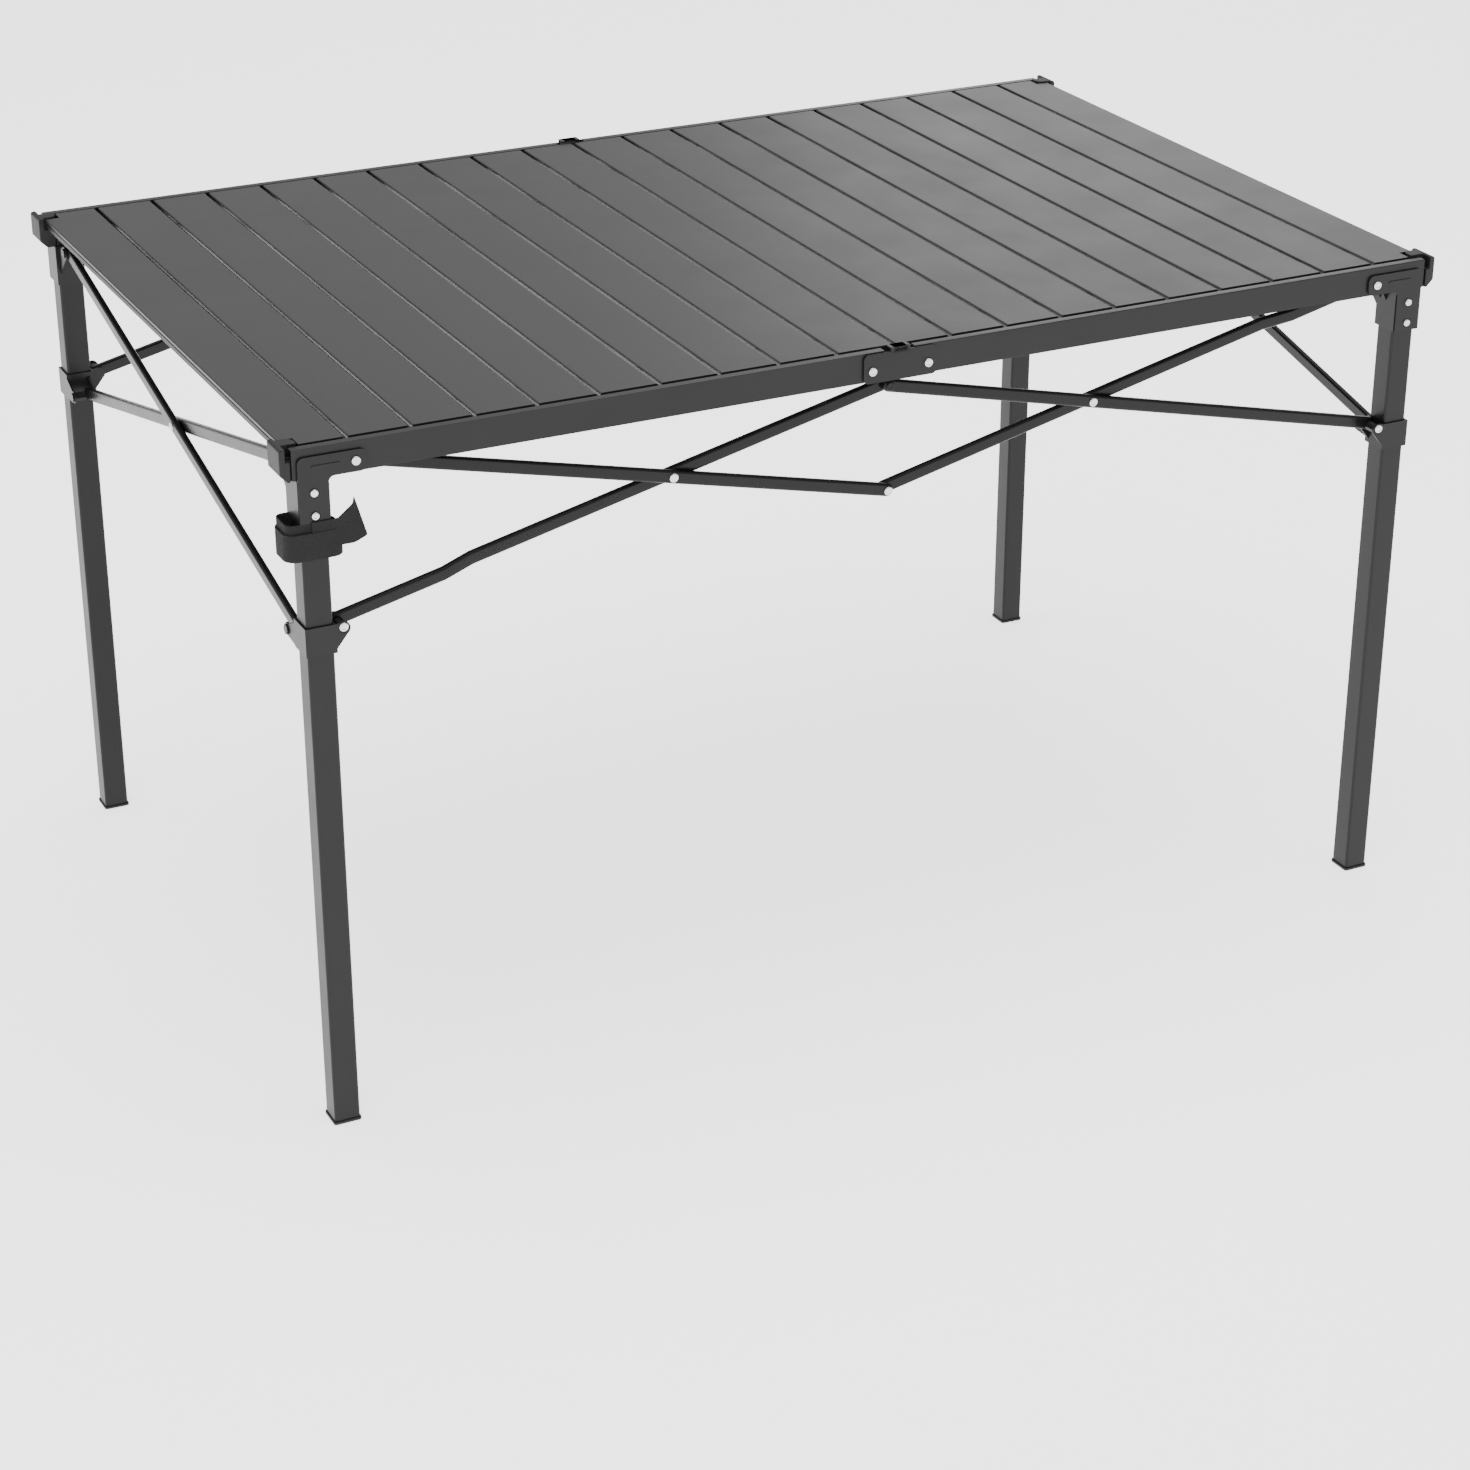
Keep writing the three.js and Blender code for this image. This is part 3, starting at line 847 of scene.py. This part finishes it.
@dataclass
class Fittings:
    """Rail brackets, sliders and rail hinges: pressed plates with rivets in place of plain heads."""

    rivets: Rivets
    edge: float = 0.45 * MM
    rail_pivot: tuple[float, float] = (-39 * MM, 654 * MM)
    leg_rivets: tuple[float, ...] = (631 * MM, 610 * MM)
    side_pivot: float = -21 * MM
    bracket_face: float = 17.3 * MM
    sleeve_face: float = 14.5 * MM
    slider_above: float = 5 * MM
    hinge_rivet: float = 29 * MM
    head_sink: float = 2.1 * MM
    pivot_head: float = 4.25 * MM
    leg_head: float = 3.6 * MM
    hinge_face: float = 2.3 * MM

    def build(self) -> None:
        """Makes and dresses the fittings of every corner and both rail hinges."""
        for corner in Corner:
            self._bracket(corner)
            self._slider(corner)
        for label, sign in (("front", -1), ("back", 1)):
            self._hinge(label, sign)

    def _flatten(self, piece: Workpiece, beyond: Callable[[Vector], bool], step: Vector) -> None:
        """Sinks the plain heads that stand beyond a face into it, where rivets will stand."""
        piece.points(beyond).move(step)
        piece.clear()

    def _bracket(self, corner: Corner) -> None:
        """Makes the L shaped bracket of a corner, with its rib and three face rivets.

        Args:
            corner: The corner.
        """
        node = f"rail_bracket_{corner.label}"
        place = corner.placing()
        inverse = place.inverted()
        y = corner.signs[1]
        piece = Workpiece.copy_of(node)
        face = self.bracket_face
        sink = Vector((0, -y * self.head_sink, 0))
        self._flatten(piece, lambda p: (inverse @ p).y > face + 0.1 * MM, sink)
        piece.soften(self.edge, 2).dress(PRESSED_BRACKET, body_of(node), Slot.BRACKET, node)
        outward = Vector((0, y, 0))
        at = place @ Vector((self.rail_pivot[0], face, self.rail_pivot[1]))
        self.rivets.drive(f"{node}_rivet_rail", at, outward, self.pivot_head, node)
        self._rib(node, place)
        for number, z in enumerate(self.leg_rivets, 1):
            at = place @ Vector((0, face, z))
            self.rivets.drive(f"{node}_rivet_leg_{number}", at, outward, self.leg_head, node)

    def _rib(self, node: str, place: Matrix) -> None:
        """The rib pressed along the bracket's arm.

        Args:
            node: The bracket's CAD node.
            place: The corner's matrix.
        """
        face, z = self.bracket_face, self.rail_pivot[1]
        low = (-25 * MM, face - 0.4 * MM, z - 0.9 * MM)
        high = (1.5 * MM, face + 0.7 * MM, z + 1.9 * MM)
        rib = Workpiece.block("rib_pattern", low, high)
        rib.edges(lambda c, d: abs(d.y) > 0.9).bevel(1.2 * MM, 4)
        rib.clear()
        pressed = rib.soften(0.4 * MM, 2, 50).placed(f"{node}_rib", place)
        pressed.dress(PRESSED_BRACKET, body_of(node), Slot.BRACKET)
        rib.scrap()

    def _slider(self, corner: Corner) -> None:
        """Makes the sleeve that rides on a leg, with its side pivot's rivet.

        Args:
            corner: The corner.
        """
        node = f"slider_{corner.label}"
        place = corner.placing()
        inverse = place.inverted()
        y = corner.signs[1]
        piece = Workpiece.copy_of(node)
        face = self.sleeve_face
        sink = Vector((0, -y * self.head_sink, 0))
        self._flatten(piece, lambda p: (inverse @ p).y > face + 0.1 * MM, sink)
        piece.soften(self.edge, 2).dress(PRESSED_BRACKET, body_of(node), Slot.BRACKET, node)
        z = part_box(node)[1].z - self.slider_above
        at = place @ Vector((self.side_pivot, face, z))
        self.rivets.drive(f"{node}_rivet", at, Vector((0, y, 0)), self.pivot_head, node)

    def _hinge(self, label: str, sign: int) -> None:
        """Makes the plate that links the two halves of a rail, with its tab and two rivets.

        Args:
            label: The side of the table, front or back.
            sign: The sign of that side's Y.
        """
        node = f"rail_hinge_{label}"
        low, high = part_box(node)
        face = abs(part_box(f"rail_{label}_left")[0 if sign < 0 else 1].y) + self.hinge_face
        piece = Workpiece.copy_of(node)
        sink = Vector((0, -sign * self.head_sink, 0))
        self._flatten(piece, lambda p: p.y * sign > face + 0.1 * MM, sink)
        piece.soften(self.edge, 2).dress(PRESSED_BRACKET, body_of(node), Slot.BRACKET, node)
        self._tab(node, low, high, sign)
        for side in (-1, 1):
            at = Vector((side * self.hinge_rivet, sign * face, self.rail_pivot[1]))
            name = f"{node}_rivet_{'left' if side < 0 else 'right'}"
            self.rivets.drive(name, at, Vector((0, sign, 0)), self.pivot_head, node)


    def _tab(self, node: str, low: Vector, high: Vector, sign: int) -> None:
        """The broad tab that bridges the gap between a rail's halves, bent down over the plate.

        Args:
            node: The hinge's CAD node.
            low: Its lowest corner.
            high: Its highest corner.
            sign: The side of the table it is on.
        """
        half, thick = 10.5 * MM, 1.4 * MM
        outside = abs(high.y if sign > 0 else low.y) - self.rivets.height
        fold = outside - 2 * MM
        near, far = sorted((sign * (outside - 10.8 * MM), sign * outside))
        tab = Workpiece.block(f"{node}_tab", (-half, near, high.z - thick), (half, far, high.z))
        tab.cut((0, sign * fold, 0), (0, 1, 0))
        tab.faces(lambda c, n: n.z < -0.9 and abs(c.y) > fold).extrude((0, 0, -4 * MM))
        tab.edges(lambda c, d: abs(d.z) > 0.9).bevel(1.2 * MM, 3)
        tab.clear()
        tab.soften(0.4 * MM, 2).dress(PRESSED_BRACKET, body_of(node), Slot.BRACKET)


@dataclass
class ScissorArms:
    """The flat arms with rounded edges. Far arms step over to their leg's plane."""

    rivets: Rivets
    half_height: float = 6.2 * MM
    edge: float = 2.4 * MM
    near: tuple[float, float] = (-8.5 * MM, -1.5 * MM)
    far: tuple[float, float] = (-15.8 * MM, -8.8 * MM)
    outer: tuple[float, float] = (1.7 * MM, 8.7 * MM)
    inner: tuple[float, float] = (-5.6 * MM, 1.4 * MM)
    step: tuple[float, float] = (105 * MM, 135 * MM)
    side_pivot: float = 21 * MM
    end_pivot: float = 34 * MM
    side_top: float = 654 * MM
    end_below: float = 13 * MM
    rivet: float = 4.4 * MM
    slider_above: float = 5 * MM

    def build(self) -> None:
        """Makes and dresses the eight side arms and the four end arms."""
        low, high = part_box("leg_front_right")
        leg = (low + high) / 2
        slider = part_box("slider_front_right")[1].z - self.slider_above
        half_span = leg.x - self.side_pivot
        end_span = -leg.y - self.end_pivot
        slope = math.atan2(self.side_top - slider, 2 * end_span)
        crossing = end_span / math.cos(slope)
        self._sides(leg, half_span, slider, slope, crossing)
        self._ends(leg, end_span, slider, slope, crossing)

    def _bar(self, name: str, length: float, plane: tuple[float, float], stepped: bool) -> Workpiece:
        """A bar drawn level along X from its leg pivot.

        Args:
            name: The pattern's name.
            length: From pivot to pivot.
            plane: Its two faces along Y.
            stepped: Whether it steps over from the near plane to the far one.

        Returns:
            The pattern bar.
        """
        r = self.half_height
        bar = Workpiece.block(name, (-r, plane[0], -r), (length + r, plane[1], r))
        bar.edges(lambda c, d: abs(d.y) > 0.9).bevel(r * 0.97, 6)
        if stepped:
            for x in self.step:
                bar.cut((x, 0, 0), (1, 0, 0))
            shift = self.far[0] - self.near[0]
            bar.points(lambda p: p.x > self.step[1] - 1 * MM).move((0, shift, 0))
        bar.clear()
        return bar.soften(self.edge, 4, 50)

    def _sides(self, leg: Vector, half_span: float, slider: float, slope: float, crossing: float) -> None:
        """Makes the long sides' arms.

        Args:
            leg: A leg's centre.
            half_span: From the table's middle to a side pivot.
            slider: The side pivot's height on the sliders.
            slope: The arms' slope.
            crossing: From a leg pivot to the crossing along an arm.
        """
        length = half_span / math.cos(slope)
        near = self._bar("near_arm", length, self.near, False)
        far = self._bar("far_arm", length, self.near, True)
        arms = (("left_high", near, -1, self.side_top, -1), ("left_low", far, -1, slider, 1))
        arms += (("right_low", near, 1, slider, 1), ("right_high", far, 1, self.side_top, -1))
        for row, y in (("front", -1), ("back", 1)):
            for label, pattern, side, z, rise in arms:
                node = f"brace_{row}_{label}"
                place = Matrix.Translation((side * half_span, y * abs(leg.y), z))
                place = place @ Matrix.Rotation(side * rise * slope, 4, "Y")
                place = place @ Matrix.Diagonal((-side, y, 1, 1))
                arm = pattern.placed(f"{node}_look", place)
                arm.dress(GLOSS_BRACE, body_of(node), Slot.BRACE, node)
                if pattern is near:
                    for spot, x in (("crossing", crossing), ("middle", length)):
                        at = place @ Vector((x, self.near[1], 0))
                        # The pivot at the top centre is coated like the arms.
                        bright = spot == "crossing" or rise < 0
                        name = f"{node}_rivet_{spot}"
                        self.rivets.drive(name, at, Vector((0, y, 0)), self.rivet, node, bright)
        near.scrap()
        far.scrap()

    def _ends(self, leg: Vector, end_span: float, slider: float, slope: float, crossing: float) -> None:
        """Makes the short ends' arms.

        Args:
            leg: A leg's centre.
            end_span: From the middle of the end to an end pivot.
            slider: The side pivot's height on the sliders.
            slope: The arms' slope.
            crossing: From a leg pivot to the crossing along an arm.
        """
        outer = self._bar("outer_arm", 2 * crossing, self.outer, False)
        inner = self._bar("inner_arm", 2 * crossing, self.inner, False)
        low, high = slider - self.end_below, self.side_top - self.end_below
        for end, x in (("left", -1), ("right", 1)):
            for label, pattern, z, rise in (("outer", outer, low, 1), ("inner", inner, high, -1)):
                node = f"brace_{end}_{label}"
                place = Matrix.Translation((x * abs(leg.x), -end_span, z))
                place = place @ Matrix.Diagonal((-x, 1, 1, 1))
                place = place @ Matrix.Rotation(rise * slope, 4, "X")
                place = place @ Matrix.Rotation(math.pi / 2, 4, "Z")
                arm = pattern.placed(f"{node}_look", place)
                arm.dress(GLOSS_BRACE, body_of(node), Slot.BRACE, node)
                if pattern is outer:
                    # The outer plane faces away from the table once the arm is turned and mirrored.
                    at = place @ Vector((crossing, self.outer[1], 0))
                    self.rivets.drive(f"{node}_rivet", at, Vector((x, 0, 0)), self.rivet, node)
        outer.scrap()
        inner.scrap()


@dataclass
class TieStrap:
    """The tape that ties the folded table, wrapped round the front left leg with its end turned up."""

    node: str = "tie_strap"
    thick: float = 1.5 * MM
    band: float = 25 * MM
    corner: float = 11 * MM
    back_gap: float = 5.5 * MM
    band_drop: float = 53.5 * MM

    def build(self) -> None:
        """Makes and dresses the wrapped band and the turned up end."""
        low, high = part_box(self.node)
        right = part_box("leg_front_left")[1].x + 13 * MM
        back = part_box("leg_front_left")[1].y + self.back_gap
        foot = high.z - self.band_drop
        ring = Workpiece.block(
            "tie_strap_band", (low.x, low.y, foot), (right, back, foot + self.band)
        )
        ring.edges(lambda c, d: abs(d.z) > 0.9).bevel(self.corner, 6)
        ring.faces(lambda c, n: abs(n.z) > 0.9).delete_faces()
        ring.clear()
        ring.modifier("SOLIDIFY", thickness=self.thick, offset=-1)
        ring.soften(0.3 * MM, 2).dress(BLACK_WEBBING, body_of(self.node), Slot.WEBBING, self.node)
        self._inner_band(low, high, right)
        self._turned_end(low, high)

    def _inner_band(self, low: Vector, high: Vector, right: float) -> None:
        """Makes the first turn of the tape, inside the outer band and a little higher.

        Args:
            low: The strap's lowest corner.
            high: Its highest corner.
            right: Where the outer band ends along X.
        """
        margin = self.thick + 0.5 * MM
        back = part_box("leg_front_left")[1].y + 4 * MM
        top = high.z - 20 * MM
        turn = Workpiece.block(
            "tie_strap_turn",
            (low.x + margin, low.y + margin, top - self.band),
            (right - 12 * MM, back, top),
        )
        turn.edges(lambda c, d: abs(d.z) > 0.9).bevel(self.corner * 0.7, 6)
        turn.faces(lambda c, n: abs(n.z) > 0.9).delete_faces()
        turn.clear()
        turn.modifier("SOLIDIFY", thickness=self.thick, offset=-1)
        turn.soften(0.3 * MM, 2).dress(BLACK_WEBBING, body_of(self.node), Slot.WEBBING)

    def _turned_end(self, low: Vector, high: Vector) -> None:
        """Makes the tape's free end, turned up beyond the band.

        Args:
            low: The strap's lowest corner.
            high: Its highest corner.
        """
        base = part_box("leg_front_left")
        centre = (base[0] + base[1]) / 2
        left, tip, foot = centre.x - 4 * MM, centre.x + 46 * MM, high.z - 44 * MM
        behind = 0.5 * MM
        end = Workpiece.block(
            "tie_strap_end",
            (left, low.y + behind, foot),
            (tip, low.y + behind + self.thick, foot + self.band),
        )
        for x in (left + 24 * MM, left + 38 * MM):
            end.cut((x, 0, 0), (1, 0, 0))
        end.points(lambda p: p.x > left + 32 * MM and p.z > foot + 10 * MM).move((0, 0, 11 * MM))
        end.points(lambda p: p.x > tip - 1 * MM and p.z > foot + 10 * MM).move((-11 * MM, 0, 7 * MM))
        end.points(lambda p: p.x > tip - 1 * MM and p.z < foot + 1 * MM).move((0, 0, 5 * MM))
        end.edges(lambda c, d: abs(d.y) > 0.9 and c.x > tip - 14 * MM).bevel(2 * MM, 3)
        end.clear()
        end.soften(0.3 * MM, 2, 50).dress(BLACK_WEBBING, body_of(self.node), Slot.WEBBING)


@dataclass
class Studio:
    """A pale floor, a bright even surround, soft lights and the camera."""

    eye: tuple[float, float, float] = (-1.4599, -2.9940, 1.7290)
    forward: tuple[float, float, float] = (0.3983, 0.8072, -0.4356)
    lens: float = 84.8
    sensor: float = 36.0
    surround: float = 0.85
    floor_glow: float = 1.9
    floor_size: float = 60.0

    def build(self) -> None:
        """Sets up all of it."""
        self._floor()
        self._surround()
        self._light("key", (3.7, 4.9, 2.3), 2.0, 24)
        self._light("top", (0, 0, 3.2), 3.0, 90)
        self._light("fill", (-3.2, -3.0, 1.8), 2.6, 70)
        self._camera()

    def _floor(self) -> None:
        """A wide plain floor under the feet."""
        Workpiece.clear()
        bpy.ops.mesh.primitive_plane_add(size=self.floor_size, location=(0, 0, bounds_low.z - 0.0005))
        floor = bpy.context.object
        floor.name = "studio_floor"
        paper = Finish(
            "floor_paper",
            dark=(0.88, 0.88, 0.88),
            light=(0.91, 0.91, 0.91),
            gloss=(0.8, 0.95),
            grain=60,
            relief=0.01,
            depth=0.0001,
        )
        floor.data.materials.append(paper.material())
        glow = paper.material().node_tree.nodes["Principled BSDF"]
        glow.inputs["Emission Color"].default_value = (1, 1, 1, 1)
        glow.inputs["Emission Strength"].default_value = self.floor_glow

    def _surround(self) -> None:
        """Even light from all round."""
        world = bpy.data.worlds.new("studio")
        world.use_nodes = True
        world.node_tree.nodes["Background"].inputs["Color"].default_value = (1, 1, 1, 1)
        world.node_tree.nodes["Background"].inputs["Strength"].default_value = self.surround
        bpy.context.scene.world = world

    def _light(self, name: str, at: tuple[float, float, float], size: float, power: float) -> None:
        """A soft square light aimed at the table.

        Args:
            name: Its name.
            at: Where it hangs.
            size: Its side, in metres.
            power: Its power, in watts.
        """
        data = bpy.data.lights.new(name, "AREA")
        data.size = size
        data.energy = power
        lamp = bpy.data.objects.new(name, data)
        bpy.context.scene.collection.objects.link(lamp)
        lamp.location = at
        toward = Vector((0, 0, 0.5)) - Vector(at)
        lamp.rotation_euler = toward.to_track_quat("-Z", "Y").to_euler()

    def _camera(self) -> None:
        """The camera, level along its width."""
        data = bpy.data.cameras.new("camera")
        data.lens = self.lens
        data.sensor_width = self.sensor
        camera = bpy.data.objects.new("camera", data)
        bpy.context.scene.collection.objects.link(camera)
        camera.location = self.eye
        camera.rotation_euler = Vector(self.forward).to_track_quat("-Z", "Y").to_euler()
        bpy.context.scene.camera = camera


def main() -> None:
    """Builds the table piece by piece."""
    logging.basicConfig(level=logging.INFO, format="%(message)s")
    Workpiece.clear()
    rivets = Rivets()
    parts = (
        LegsAndRails(),
        Fittings(rivets),
        ScissorArms(rivets),
        SlatTop(),
        TieStrap(),
        Studio(),
    )
    for part in parts:
        log.info("building %s", type(part).__name__)
        part.build()
    rivets.put_away()


if __name__ == "__main__":
    main()
